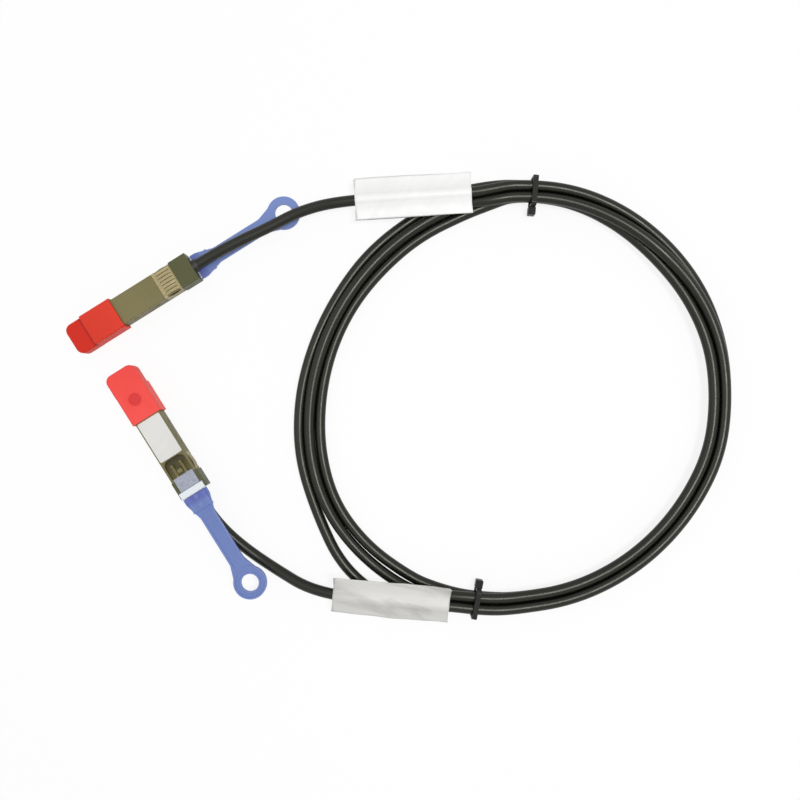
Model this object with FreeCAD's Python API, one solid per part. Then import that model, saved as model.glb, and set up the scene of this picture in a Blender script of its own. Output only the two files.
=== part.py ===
"""Direct attach copper cable: two pluggable transceiver-style ends on one coiled twinax cord.

Each plug is a two-piece die-cast shell with a paddle card, a sprung pull-to-release slider,
a moulded pull tab, an EMI spring-finger collar and a push-on dust cap.  Plug A lies with its
latch face down and plug B with its latch face up, joined by a cord that is wound into a
loose flat coil held by two cable ties and marked by two wrap-round labels.

Units are millimetres.  A plug is modelled in its own frame: x runs from the insertion end
towards the cord, y across, z from the latch face to the plain face.
"""
import FreeCAD
import Part
import os
from math import atan2, cos, degrees, pi, radians, sin, sqrt, tan

V = FreeCAD.Vector

# ---- plug shell ---------------------------------------------------------------------------
STOP = 47.5                 # insertion end to the shoulder that meets the host's bezel
GRIP_LENGTH = 9.0           # the part behind the shoulder
PLUG_LENGTH = STOP + GRIP_LENGTH
PLUG_WIDTH = 13.4
PLUG_HEIGHT = 8.5
GRIP_WIDTH = 14.2
GRIP_RISE = 0.4             # how far that part stands above the plain face
EDGE_ROUND = 0.5
SIDE_WALL = 1.0
REAR_WALL = 1.8
COVER_SKIN = 0.6
SPLIT = 6.0                 # height at which the base and the cover meet
FLOOR = 1.0                 # floor of the base towards the insertion end
DECK = 2.2                  # thicker floor over the latch, which also carries the card
DECK_START = STOP - 11.0
NOSE_OPEN = 10.4            # length of the open floor at the insertion end
COVER_HOOK = 1.4            # how far the cover's lip and hooks reach below the split
SNAP_PLACES = (19.0, DECK_START - 5.5)   # insertion end to each pair of snap hooks
SNAP_LENGTH = 2.6
SNAP_HEIGHT = 0.6
SNAP_PLAY = 0.1

# ---- latch --------------------------------------------------------------------------------
POCKET_START = STOP - 10.5
POCKET_WIDTH = 11.0
POCKET_DEPTH = 1.2
POCKET_CORNER = 3.0
CHANNEL_START = STOP - 1.5
STUD_SHOULDER = STOP - 2.5  # insertion end to the locking shoulder
STUD_SIZE = 2.6
STUD_HEIGHT = 0.45
SLIDER_TOP_WIDTH = 10.4     # part that shows between the rails
SLIDER_FLANGE_WIDTH = 11.6  # part that runs under them
SLIDER_THICKNESS = 0.9
SLIDER_STEP = 0.5           # depth at which the flanges start
SLIDER_PLAY = 0.1           # clearance of the slider on every side
TINE_INNER = 1.7            # from the centre line to a tine
TINE_WIDTH = 1.35
TINE_TIP = POCKET_START + 2.8
TINE_WEDGE = 0.35
LIP_LENGTH = 3.6
LIP_BEHIND = 0.5            # how far the lip stands out behind the rear wall
LIP_END = PLUG_LENGTH + LIP_BEHIND
LIP_START = LIP_END - LIP_LENGTH
LIP_WIDTH = 12.8
LIP_HEIGHT = 0.9

# ---- return springs -----------------------------------------------------------------------
SPRING_START = STOP + 0.6
SPRING_LENGTH = 4.2
SPRING_Y = 3.5
SPRING_WIDTH = 1.3
SPRING_STRIP = 0.15
SPRING_FOLDS = 5
SPRING_DEPTH = 1.0          # across the strip, along z
SPRING_PLAY = 0.1

# ---- pull tab -----------------------------------------------------------------------------
TAB_THICKNESS = 1.2
TAB_ROOT_WIDTH = 12.7
TAB_STRIP_WIDTH = 7.5
TAB_ROOT_END = LIP_END + 3.0
TAB_TAPER_END = TAB_ROOT_END + 9.0
TAB_REACH = 50.5            # rear wall to the centre of the finger ring
RING_DIAMETER = 16.0
RING_HOLE = 8.4
TAB_RIM = 0.35
TAB_RIM_WIDTH = 0.9
TANG_LENGTH = 7.0
TANG_WIDTH = 8.0
TANG_THICKNESS = 0.5
RIVET_DIAMETER = 1.6
RIVET_HEAD = 2.6
RIVET_SPACING = 4.4

# ---- EMI collar ---------------------------------------------------------------------------
COLLAR_LENGTH = 9.4
COLLAR_END = STOP - 0.5
COLLAR_START = COLLAR_END - COLLAR_LENGTH
COLLAR_BAND = 1.7
COLLAR_SHEET = 0.15
COLLAR_RECESS = 0.2
COLLAR_FOOT = 1.4           # how far above the latch face the collar's legs start
FINGER_BULGE = 0.5
FINGER_WIDTH = 1.35
FINGER_PITCH = 1.75
FINGERS_ACROSS = 7
FINGERS_UP = 3

# ---- inside the plug ----------------------------------------------------------------------
CARD_THICKNESS = 1.0
CARD_SEAT = 0.05            # solder-mask gap under the card
CARD_START = 3.2
CARD_END = DECK_START + 3.5
CARD_TONGUE_WIDTH = 9.2
CARD_TONGUE_END = 12.5
CARD_PLAY = 0.15
PAD_COUNT = 10              # on each face
PAD_PITCH = 0.8
PAD_WIDTH = 0.6
PAD_LENGTH = 3.6
PAD_THICKNESS = 0.05
CHIP_START = 17.0
CHIP_SIZE = 3.0
CHIP_HEIGHT = 0.9
CAPACITOR = (1.0, 0.5, 0.4)
CAPACITOR_BEFORE = 4.8      # how far ahead of the wires' ends the capacitors sit
PAIR_WIDTH = 2.9
PAIR_THICKNESS = 1.7
PAIR_Y = 2.2
PAIR_START = DECK_START - 3.1
WIRE_WIDTH = 0.35
WIRE_LENGTH = 2.6
WIRE_Y = 0.7
LEDGE_WIDTH = 0.9

# ---- cord and its exit --------------------------------------------------------------------
CORD_DIAMETER = 5.3
EXIT_HEIGHT = 4.7           # cord's axis above the latch face
JACKET_INSIDE = 7.0         # how far the jacket reaches in from the rear face
JACKET_START = PLUG_LENGTH - JACKET_INSIDE
FERRULE_DIAMETER = 6.4
FERRULE_LENGTH = 2.4
BOOT_DIAMETER = 6.2
BOOT_FLANGE_DIAMETER = 7.8
BOOT_FLANGE_LENGTH = 2.4
BOOT_FLANGE_HEIGHT = 5.8
BOOT_BEHIND = 2.5           # how far the boot stands out of the rear wall
BOOT_TIP_DIAMETER = 5.9
BORE_PLAY = 0.05

# ---- dust cap -----------------------------------------------------------------------------
CAP_WALL = 0.95
CAP_PLAY = 0.15
CAP_MOUTH = 14.5            # how far the sleeve reaches over the plug
CAP_END_GAP = 0.3
CAP_END_WALL = 1.5
CAP_TONGUE = 10.0
CAP_TONGUE_THICKNESS = 7.5
CAP_TONGUE_CORNER = 3.5
CAP_ROUND = 1.2
DIMPLE_DIAMETER = 6.0
DIMPLE_DEPTH = 0.4
DIMPLE_X = 4.2

# ---- sticker ------------------------------------------------------------------------------
STICKER_START = 15.0
STICKER_END = POCKET_START - 0.6
STICKER_WIDTH = 12.0
STICKER_THICKNESS = 0.1

# ---- layout: origin at the middle of the coil, plug A lies along +X, plug B along -Y -------
PLUG_A = (-154.5, 135.5)    # insertion end of plug A
PLUG_B = (-154.3, 99.7)     # insertion end of plug B
LIFT = CAP_WALL + CAP_PLAY  # the dust caps carry the plugs this far above the surface

COIL_REACH = 115.0          # no part of the coil's band lies further out
COIL_TURN = -32.0           # turns the coil's own axes into the layout
# The band of turns in the coil's own axes: angle, inner radius and outer radius.
COIL_BAND = (
    (-240, 88.0, 101.2), (-210, 87.2, 101.4), (-180, 90.9, 106.1), (-150, 97.6, 112.2),
    (-120, 97.0, 107.9), (-90, 92.6, 104.6), (-60, 90.7, 103.1), (-30, 91.0, 103.7),
    (0, 91.9, 104.8), (30, 92.0, 105.8), (60, 93.4, 105.4), (90, 93.4, 105.2),
)
ONE_LAYER = 5.4             # height where the turns lie side by side
TWO_LAYERS = 10.8           # height where they lie on each other
RISE_FROM = ((-17.0, 100.0), (-29.5, -100.0))   # line, in the coil's axes, where the rise starts
RISE_RUN = 17.0
COIL_ROUND = 2.0

LABEL_LENGTH = 55.5
LABEL_WIDTH = 19.0
LABEL_FILM = 0.35
LABEL_PLAY = 0.3
LABEL_HEIGHT = 9.0          # height of the labels' middle above the surface
LABEL_A = ((9.0, 107.6), -28.4, 0.0)      # middle, heading and tilt
LABEL_B = ((-101.9, -50.3), -37.4, 22.0)

TIE_WIDTH = 2.4
TIE_THICKNESS = 1.0
TIE_PLAY = 0.25
TIE_CORNER = 0.5            # inner corner of the strap
TIE_HEAD = (4.4, 3.6, 4.0)
TIE_TOP_ANGLE = 53.1        # where the ties are, as angles round the coil in the layout
TIE_BOTTOM_ANGLE = 226.9
TIE_BOTTOM_HEIGHT = 11.7

# The cord's free stretches, as points of their centre lines.
LEAD_A = (
    (-105.0, 135.5, LIFT + EXIT_HEIGHT), (-89.0, 135.5, LIFT + EXIT_HEIGHT),
    (-73.0, 134.4, 5.9), (-57.0, 132.3, 5.9), (-40.5, 131.0, 6.5),
    (-22.6, 124.7, 9.0), (9.1, 107.8, 9.0), (34.7, 93.9, 9.0), (53.4, 84.4, 7.9),
)
LEAD_B = (
    (-154.3, 50.0, LIFT + PLUG_HEIGHT - EXIT_HEIGHT), (-154.3, 36.0, LIFT + PLUG_HEIGHT - EXIT_HEIGHT),
    (-153.2, 22.5, 4.6), (-149.6, 9.0, 3.7), (-143.4, -6.0, 3.1),
    (-130.5, -28.5, 9.0), (-102.0, -50.1, 9.0), (-78.8, -68.1, 9.0), (-65.5, -77.5, 7.9),
)
# The outermost turn, where it swings out of the coil and under label B.
FAN = (
    (-93.5, 41.9, 2.7), (-105.8, 16.6, 2.7), (-110.6, -9.9, 2.7), (-112.6, -33.3, 2.7),
    (-100.9, -51.9, 2.7), (-83.3, -65.3, 2.7),
)
CORD_BEND_SHARE = 0.45      # share of the shorter run that an arc takes
COIL_BEND_SHARE = 0.49


# ---- shared shapes ------------------------------------------------------------------------
def box(x, y, z):
    """A box from its (low, high) pairs."""
    return Part.makeBox(x[1] - x[0], y[1] - y[0], z[1] - z[0], V(x[0], y[0], z[0]))


def centred(x, width, z, y=0.0):
    """A box of one width about the plane at y."""
    return box(x, (y - width / 2, y + width / 2), z)


def cylinder(radius, start, axis, length):
    return Part.makeCylinder(radius, length, V(*start), V(*axis))


def polygon(points, thickness):
    """A flat face through the points, pushed along the thickness vector."""
    corners = [V(*p) for p in points]
    return Part.Face(Part.makePolygon(corners + corners[:1])).extrude(V(*thickness))


def side_profile(points, y):
    """A profile of (x, z) points pushed across from y[0] to y[1]."""
    return polygon([(px, y[0], pz) for px, pz in points], (0, y[1] - y[0], 0))


def rounded_bar(x, width, z, radius):
    """A bar along x with its four long edges rounded."""
    bar = centred(x, width, z)
    long_edges = [e for e in bar.Edges if abs(e.tangentAt(e.FirstParameter).x) > 0.9]
    return bar.makeFillet(radius, long_edges)


def upright_edges(shape, test):
    """The straight edges along z whose place passes the test."""
    return [e for e in shape.Edges
            if abs(e.tangentAt(e.FirstParameter).z) > 0.9 and test(e.CenterOfMass)]


def joined(shapes):
    shapes = list(shapes)
    whole = shapes[0].multiFuse(shapes[1:]) if len(shapes) > 1 else shapes[0]
    return whole.removeSplitter()


# ---- plug pieces --------------------------------------------------------------------------
def shell_envelope():
    """Outside of both shell halves together, with the recess for the collar."""
    front = rounded_bar((0, PLUG_LENGTH), PLUG_WIDTH, (0, PLUG_HEIGHT), EDGE_ROUND)
    grip = rounded_bar((STOP, PLUG_LENGTH), GRIP_WIDTH, (0, PLUG_HEIGHT + GRIP_RISE), EDGE_ROUND)
    recess_x = (COLLAR_START - COLLAR_RECESS, STOP)
    sheath = centred(recess_x, PLUG_WIDTH + 1, (COLLAR_FOOT, PLUG_HEIGHT + 1))
    core = centred(recess_x, PLUG_WIDTH - 2 * COLLAR_RECESS, (0, PLUG_HEIGHT - COLLAR_RECESS))
    front = front.cut(sheath.cut(core))
    return joined([front, grip])


def exit_bore():
    """Hole for the strain relief through the rear wall."""
    start = (PLUG_LENGTH - REAR_WALL - 1, 0, EXIT_HEIGHT)
    return cylinder(BOOT_DIAMETER / 2 + BORE_PLAY, start, (1, 0, 0), REAR_WALL + 2)


def latch_cuts():
    """Latch pocket, slider channel and spring grooves in the latch face."""
    pocket = centred((POCKET_START, CHANNEL_START + 0.5), POCKET_WIDTH, (-1, POCKET_DEPTH))
    front_corners = upright_edges(pocket, lambda c: c.x < POCKET_START + 0.1)
    pocket = pocket.makeFillet(POCKET_CORNER, front_corners)
    run = (CHANNEL_START, PLUG_LENGTH + 1)
    mouth = centred(run, SLIDER_TOP_WIDTH + 2 * SLIDER_PLAY, (-1, SLIDER_STEP))
    undercut = centred(run, SLIDER_FLANGE_WIDTH + 2 * SLIDER_PLAY,
                       (SLIDER_STEP - SLIDER_PLAY, SLIDER_THICKNESS + SLIDER_PLAY))
    cuts = [pocket, mouth, undercut]
    for side in (-1, 1):
        groove_x = (SPRING_START - SPRING_PLAY, SPRING_START + SPRING_LENGTH + SPRING_PLAY)
        groove_z = (0, spring_middle() + SPRING_DEPTH / 2 + SPRING_PLAY)
        cuts.append(centred(groove_x, SPRING_WIDTH + 2 * SPRING_PLAY, groove_z, side * SPRING_Y))
    return joined(cuts)


def spring_middle():
    """Height of the springs' middle plane, at the slider's inner face."""
    return SLIDER_THICKNESS + SLIDER_PLAY


def locking_stud():
    """Ramped stud that the host's cage catches on."""
    front = STUD_SHOULDER - STUD_SIZE
    ramp = STUD_HEIGHT * 2
    points = [(front, POCKET_DEPTH + 0.2), (front, STUD_HEIGHT), (front + ramp, -STUD_HEIGHT),
              (STUD_SHOULDER, -STUD_HEIGHT), (STUD_SHOULDER, POCKET_DEPTH + 0.2)]
    return side_profile(points, (-STUD_SIZE / 2, STUD_SIZE / 2))


def snap_windows(play):
    """Side windows of the base that the cover's hooks catch in, or the hooks themselves."""
    windows = []
    low = SPLIT - COVER_HOOK + 2 * SNAP_PLAY
    for x in SNAP_PLACES:
        for side in (-1, 1):
            reach = SIDE_WALL + 2 * play if play else SIDE_WALL * 0.6
            inner = PLUG_WIDTH / 2 - SIDE_WALL - (play if play else 3 * SNAP_PLAY)
            y = sorted((side * inner, side * (inner + reach)))
            windows.append(box((x - play, x + SNAP_LENGTH + play), y,
                               (low - play, low + SNAP_HEIGHT + play)))
    return windows


def base_shell():
    """Latch-side half of the shell: floor, side walls, card ledges, latch pocket and stud."""
    body = shell_envelope().common(box((-1, PLUG_LENGTH + 1), (-20, 20), (-1, SPLIT)))
    inside = PLUG_WIDTH - 2 * SIDE_WALL
    trough = centred((-1, PLUG_LENGTH - REAR_WALL), inside, (FLOOR, SPLIT + 1))
    body = body.cut(trough)
    nose = centred((-1, NOSE_OPEN), inside, (-1, FLOOR + 0.5))
    body = body.cut(nose)
    deck = centred((DECK_START, PLUG_LENGTH - REAR_WALL), inside, (FLOOR, DECK))
    body = joined([body, deck]).cut(latch_cuts())
    ledges = []
    for side in (-1, 1):
        y = sorted((side * inside / 2, side * (inside / 2 - LEDGE_WIDTH)))
        ledges.append(box((NOSE_OPEN, DECK_START), y, (FLOOR, DECK)))
    body = joined([body, locking_stud()] + ledges)
    for window in snap_windows(SNAP_PLAY):
        body = body.cut(window)
    return body.cut(exit_bore()).cut(ferrule_groove())


def ferrule_groove():
    """Round-bottomed groove in the deck under the ferrule."""
    start = (JACKET_START - BORE_PLAY, 0, EXIT_HEIGHT)
    return cylinder(FERRULE_DIAMETER / 2 + BORE_PLAY, start, (1, 0, 0), PLUG_LENGTH - start[0] - 0.1)


def cover_shell():
    """Plain-face half: thin skin, upper side walls and an inner lip with four snap hooks."""
    body = shell_envelope().common(box((-1, PLUG_LENGTH + 1), (-20, 20), (SPLIT, PLUG_HEIGHT + 2)))
    inside = PLUG_WIDTH - 2 * SIDE_WALL
    hollow = centred((-1, PLUG_LENGTH - REAR_WALL), inside, (SPLIT - 1, PLUG_HEIGHT - COVER_SKIN))
    body = body.cut(hollow)
    lips = []
    for side in (-1, 1):
        outer = inside / 2 - BORE_PLAY
        y = sorted((side * outer, side * (outer - 0.4)))
        lips.append(box((CARD_TONGUE_END, DECK_START), y, (SPLIT - COVER_HOOK, PLUG_HEIGHT - COVER_SKIN)))
    body = joined([body] + lips + snap_windows(0))
    return body.cut(exit_bore())


def finger(length):
    """One sprung leaf of the collar: a strip along x, bulged outwards along z."""
    def arc(rise):
        return Part.Arc(V(0, 0, rise), V(length / 2, 0, rise + FINGER_BULGE),
                        V(length, 0, rise)).toShape()
    ends = [Part.LineSegment(V(x, 0, 0), V(x, 0, COLLAR_SHEET)).toShape() for x in (0, length)]
    outline = Part.Wire(Part.__sortEdges__([arc(0), ends[1], arc(COLLAR_SHEET), ends[0]]))
    leaf = Part.Face(outline).extrude(V(0, FINGER_WIDTH, 0))
    leaf.translate(V(0, -FINGER_WIDTH / 2, 0))
    return leaf


def emi_collar():
    """Folded spring strip round three sides, with a row of bulged fingers on each."""
    seat = COLLAR_RECESS - COLLAR_SHEET
    half = PLUG_WIDTH / 2 - seat
    top = PLUG_HEIGHT - seat
    band_x = (COLLAR_START, COLLAR_START + COLLAR_BAND)
    outer = centred(band_x, 2 * half, (COLLAR_FOOT + 0.1, top))
    inner = centred(band_x, 2 * (half - COLLAR_SHEET), (0, top - COLLAR_SHEET))
    tail_x = (COLLAR_END - 0.7, COLLAR_END)
    tail = centred(tail_x, 2 * half, (COLLAR_FOOT + 0.1, top)).cut(
        centred(tail_x, 2 * (half - COLLAR_SHEET), (0, top - COLLAR_SHEET)))
    pieces = [outer.cut(inner), tail]
    leaf_start = band_x[1] - 0.2
    leaf = finger(tail_x[0] - leaf_start + 0.2)
    for i in range(FINGERS_ACROSS):
        one = leaf.copy()
        one.translate(V(leaf_start, (i - (FINGERS_ACROSS - 1) / 2) * FINGER_PITCH, top - COLLAR_SHEET))
        pieces.append(one)
    for side in (-1, 1):
        for i in range(FINGERS_UP):
            one = leaf.copy()
            one.rotate(V(), V(1, 0, 0), -90 * side)
            height = COLLAR_FOOT + 1.3 + i * FINGER_PITCH
            one.translate(V(leaf_start, side * (half - COLLAR_SHEET), height))
            pieces.append(one)
    return joined(pieces)


def card_top():
    return DECK + CARD_SEAT + CARD_THICKNESS


def paddle_card():
    """Circuit board with a narrow contact tongue; it sits on the ledges and the deck."""
    z = (DECK + CARD_SEAT, card_top())
    tongue = centred((CARD_START, CARD_TONGUE_END), CARD_TONGUE_WIDTH, z)
    front = [e for e in tongue.Edges if abs(e.tangentAt(e.FirstParameter).y) > 0.9
             and e.CenterOfMass.x < CARD_START + 0.1]
    tongue = tongue.makeChamfer(0.25, front)
    width = PLUG_WIDTH - 2 * SIDE_WALL - 2 * (0.4 + BORE_PLAY) - 2 * CARD_PLAY
    return joined([tongue, centred((CARD_TONGUE_END, CARD_END), width, z)])


def edge_contacts():
    """Gold contact pads on both faces of the tongue."""
    pads = []
    x = (CARD_START + 0.5, CARD_START + 0.5 + PAD_LENGTH)
    for i in range(PAD_COUNT):
        y = (i - (PAD_COUNT - 1) / 2) * PAD_PITCH
        pads.append(centred(x, PAD_WIDTH, (card_top(), card_top() + PAD_THICKNESS), y))
        low = DECK + CARD_SEAT
        pads.append(centred(x, PAD_WIDTH, (low - PAD_THICKNESS, low), y))
    return Part.makeCompound(pads)


def memory_chip():
    """Small moulded chip that tells the host what is plugged in, with its four leads."""
    x = (CHIP_START, CHIP_START + CHIP_SIZE)
    body = centred(x, CHIP_SIZE, (card_top() + 0.1, card_top() + CHIP_HEIGHT))
    shapes = [body]
    for side in (-1, 1):
        for step in (-1, 1):
            lead_x = sum(x) / 2 + step * CHIP_SIZE / 4
            y = sorted((side * (CHIP_SIZE / 2 - 0.2), side * (CHIP_SIZE / 2 + 0.6)))
            shapes.append(box((lead_x - 0.2, lead_x + 0.2), y, (card_top(), card_top() + 0.3)))
    return joined(shapes)


def coupling_capacitors():
    """Four chip capacitors in line with the signal pairs."""
    length, width, height = CAPACITOR
    start = PAIR_START - WIRE_LENGTH - CAPACITOR_BEFORE
    shapes = []
    for side in (-1, 1):
        for step in (-1, 1):
            y = side * PAIR_Y + step * WIRE_Y
            shapes.append(centred((start, start + length), width, (card_top(), card_top() + height), y))
    return Part.makeCompound(shapes)


def pair_height():
    """Height of the twinax pairs' middle."""
    return card_top() + PAIR_THICKNESS / 2 + 0.1


def twinax_pairs():
    """The two screened pairs between the card and the end of the jacket."""
    pairs = []
    radius = PAIR_THICKNESS / 2
    offset = PAIR_WIDTH / 2 - radius
    length = JACKET_START - PAIR_START
    for side in (-1, 1):
        middle = side * PAIR_Y
        core = centred((PAIR_START, JACKET_START), 2 * offset,
                       (pair_height() - radius, pair_height() + radius), middle)
        ends = [cylinder(radius, (PAIR_START, middle + s * offset, pair_height()), (1, 0, 0), length)
                for s in (-1, 1)]
        pairs.append(joined([core] + ends))
    return Part.makeCompound(pairs)


def wire_ends():
    """Flattened bare conductors from the pairs down to the card."""
    wires = []
    low = card_top()
    high = pair_height()
    x0 = PAIR_START - WIRE_LENGTH
    bend = x0 + WIRE_LENGTH * 0.45
    t = WIRE_WIDTH
    points = [(x0, low), (bend, low), (PAIR_START - 0.5, high - t / 2), (PAIR_START, high - t / 2),
              (PAIR_START, high + t / 2), (PAIR_START - 0.7, high + t / 2), (bend - 0.2, low + t),
              (x0, low + t)]
    for side in (-1, 1):
        for step in (-1, 1):
            y = side * PAIR_Y + step * WIRE_Y
            wires.append(side_profile(points, (y - t / 2, y + t / 2)))
    return Part.makeCompound(wires)


def crimp_ferrule():
    """Metal ring crimped on the jacket just inside the rear wall."""
    start = (JACKET_START, 0, EXIT_HEIGHT)
    ring = cylinder(FERRULE_DIAMETER / 2, start, (1, 0, 0), FERRULE_LENGTH)
    return ring.cut(cylinder(CORD_DIAMETER / 2, start, (1, 0, 0), FERRULE_LENGTH))


def strain_relief():
    """Moulded boot: a flatted flange inside the rear wall and a tapered neck outside it."""
    inner_face = PLUG_LENGTH - REAR_WALL
    flange = cylinder(BOOT_FLANGE_DIAMETER / 2, (inner_face - BOOT_FLANGE_LENGTH, 0, EXIT_HEIGHT),
                      (1, 0, 0), BOOT_FLANGE_LENGTH)
    flats = centred((0, PLUG_LENGTH), 20, (EXIT_HEIGHT - BOOT_FLANGE_HEIGHT / 2 + 0.5,
                                           EXIT_HEIGHT + BOOT_FLANGE_HEIGHT / 2))
    neck = cylinder(BOOT_DIAMETER / 2, (inner_face, 0, EXIT_HEIGHT), (1, 0, 0), REAR_WALL)
    tail = Part.makeCone(BOOT_DIAMETER / 2, BOOT_TIP_DIAMETER / 2, BOOT_BEHIND,
                         V(PLUG_LENGTH, 0, EXIT_HEIGHT), V(1, 0, 0))
    boot = joined([flange.common(flats), neck, tail])
    bore = cylinder(CORD_DIAMETER / 2, (0, 0, EXIT_HEIGHT), (1, 0, 0), PLUG_LENGTH + BOOT_BEHIND + 1)
    return boot.cut(bore)


def release_slider():
    """Stamped slider: two wedge-tipped tines, a flanged plate, a folded lip and a tang."""
    plate_x = (CHANNEL_START + 0.2, LIP_END)
    plate = centred(plate_x, SLIDER_TOP_WIDTH, (0, SLIDER_THICKNESS))
    flanges = centred((plate_x[0], PLUG_LENGTH), SLIDER_FLANGE_WIDTH, (SLIDER_STEP, SLIDER_THICKNESS))
    lip = centred((LIP_START, LIP_END), LIP_WIDTH, (-LIP_HEIGHT, -SLIDER_PLAY))
    crown = [e for e in lip.Edges if abs(e.tangentAt(e.FirstParameter).y) > 0.9
             and e.CenterOfMass.z < -LIP_HEIGHT + 0.1]
    lip = lip.makeFillet(LIP_HEIGHT * 0.6, crown)
    lip_web = centred((LIP_START, LIP_END), SLIDER_TOP_WIDTH, (-LIP_HEIGHT / 2, SLIDER_THICKNESS))
    tang_z = tang_levels()
    tang = centred((LIP_END, LIP_END + TANG_LENGTH), TANG_WIDTH, tang_z)
    shapes = [plate, flanges, lip, lip_web, tang]
    for side in (-1, 1):
        y = sorted((side * TINE_INNER, side * (TINE_INNER + TINE_WIDTH)))
        wedge = [(TINE_TIP, SLIDER_THICKNESS), (TINE_TIP, -TINE_WEDGE),
                 (TINE_TIP + 1.0, -TINE_WEDGE), (TINE_TIP + 2.2, SLIDER_PLAY),
                 (plate_x[0] + 0.2, SLIDER_PLAY), (plate_x[0] + 0.2, SLIDER_THICKNESS)]
        shapes.append(side_profile(wedge, y))
    slider = joined(shapes)
    for side in (-1, 1):
        pocket_x = (SPRING_START - SPRING_PLAY, SPRING_START + SPRING_LENGTH + SPRING_PLAY)
        pocket_z = (spring_middle() - SPRING_DEPTH / 2 - SPRING_PLAY, SLIDER_THICKNESS + 1)
        slider = slider.cut(centred(pocket_x, SPRING_WIDTH + 2 * SPRING_PLAY, pocket_z, side * SPRING_Y))
    for x in rivet_places():
        slider = slider.cut(cylinder(RIVET_DIAMETER / 2 + BORE_PLAY, (x, 0, -2), (0, 0, 1), 4))
    return slider


def tang_levels():
    middle = TAB_THICKNESS / 2 - 0.1
    return (middle - TANG_THICKNESS / 2, middle + TANG_THICKNESS / 2)


def rivet_places():
    first = LIP_END + (TANG_LENGTH - RIVET_SPACING) / 2 + 0.4
    return (first, first + RIVET_SPACING)


def return_springs():
    """Two folded strip springs that push the slider home."""
    springs = []
    pitch = SPRING_LENGTH / SPRING_FOLDS
    half = SPRING_WIDTH / 2
    z = spring_middle() - SPRING_DEPTH / 2
    for side in (-1, 1):
        middle = side * SPRING_Y
        strips = []
        for i in range(SPRING_FOLDS):
            x = SPRING_START + i * pitch
            near, far = (half, -half) if i % 2 else (-half, half)
            strips.append(polygon([(x, middle + near, z), (x + SPRING_STRIP, middle + near, z),
                                   (x + pitch, middle + far, z),
                                   (x + pitch - SPRING_STRIP, middle + far, z)], (0, 0, SPRING_DEPTH)))
            y = sorted((middle + far, middle + far * 0.75))
            start = x + pitch - SPRING_STRIP * 1.5
            end = min(x + pitch + SPRING_STRIP * 1.5, SPRING_START + SPRING_LENGTH)
            strips.append(box((start, end), y, (z, z + SPRING_DEPTH)))
        springs.append(joined(strips))
    return Part.makeCompound(springs)


def ring_centre():
    return PLUG_LENGTH + TAB_REACH


def pull_tab():
    """Moulded strap: riveted root, tapered neck, raised rims and a finger ring."""
    root, strip = TAB_ROOT_WIDTH / 2, TAB_STRIP_WIDTH / 2
    flare = ring_centre() - RING_DIAMETER * 0.75
    half = [(LIP_END, root), (TAB_ROOT_END, root), (TAB_TAPER_END, strip), (flare, strip),
            (ring_centre() - RING_DIAMETER * 0.32, RING_DIAMETER * 0.38)]
    outline = [(x, y, 0) for x, y in half] + [(x, -y, 0) for x, y in reversed(half)]
    body = polygon(outline, (0, 0, TAB_THICKNESS))
    bends = upright_edges(body, lambda c: TAB_ROOT_END - 1 < c.x < flare + 1)
    body = body.makeFillet(6.0, bends)
    ring = cylinder(RING_DIAMETER / 2, (ring_centre(), 0, -TAB_RIM), (0, 0, 1), TAB_THICKNESS + TAB_RIM)
    dish = cylinder(RING_DIAMETER / 2 - TAB_RIM_WIDTH, (ring_centre(), 0, -1), (0, 0, 1), 1)
    hub = cylinder(RING_HOLE / 2 + TAB_RIM_WIDTH, (ring_centre(), 0, -TAB_RIM), (0, 0, 1), TAB_RIM)
    root_block = centred((LIP_END + 0.1, LIP_END + TANG_LENGTH + 1.5), TAB_ROOT_WIDTH - 2.2,
                         (-0.7, TAB_THICKNESS))
    root_block = root_block.makeFillet(0.5, [e for e in root_block.Edges if e.CenterOfMass.z < -0.6])
    rails = []
    for side in (-1, 1):
        y = sorted((side * strip, side * (strip - TAB_RIM_WIDTH)))
        rails.append(box((TAB_TAPER_END - 1, flare + 2), y, (-TAB_RIM, TAB_THICKNESS)))
    tab = joined([body.cut(centred((LIP_END - 1, LIP_END + 0.1), 30, (-1, 5))), ring.cut(dish), hub,
                  root_block] + rails)
    tab = tab.cut(cylinder(RING_HOLE / 2, (ring_centre(), 0, -2), (0, 0, 1), 5))
    low, high = tang_levels()
    tab = tab.cut(centred((LIP_END - 1, LIP_END + TANG_LENGTH + BORE_PLAY), TANG_WIDTH + 2 * BORE_PLAY,
                          (low - BORE_PLAY / 2, high + BORE_PLAY / 2)))
    for x in rivet_places():
        tab = tab.cut(cylinder(RIVET_DIAMETER / 2 + BORE_PLAY, (x, 0, -2), (0, 0, 1), 5))
        tab = tab.cut(cylinder(RIVET_HEAD / 2 + BORE_PLAY, (x, 0, -2), (0, 0, 1), 1.6))
        tab = tab.cut(cylinder(RIVET_HEAD / 2 + BORE_PLAY, (x, 0, TAB_THICKNESS - 0.3), (0, 0, 1), 1))
    return tab


def tab_rivets():
    """Two flush rivets that hold the strap on the slider's tang."""
    rivets = []
    for x in rivet_places():
        low, high = -0.4 - 0.25, TAB_THICKNESS - 0.05
        shank = cylinder(RIVET_DIAMETER / 2, (x, 0, low), (0, 0, 1), high - low)
        head = cylinder(RIVET_HEAD / 2, (x, 0, low), (0, 0, 1), 0.25)
        tail = cylinder(RIVET_HEAD / 2, (x, 0, high - 0.25), (0, 0, 1), 0.25)
        rivets.append(joined([shank, head, tail]))
    return Part.makeCompound(rivets)


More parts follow.
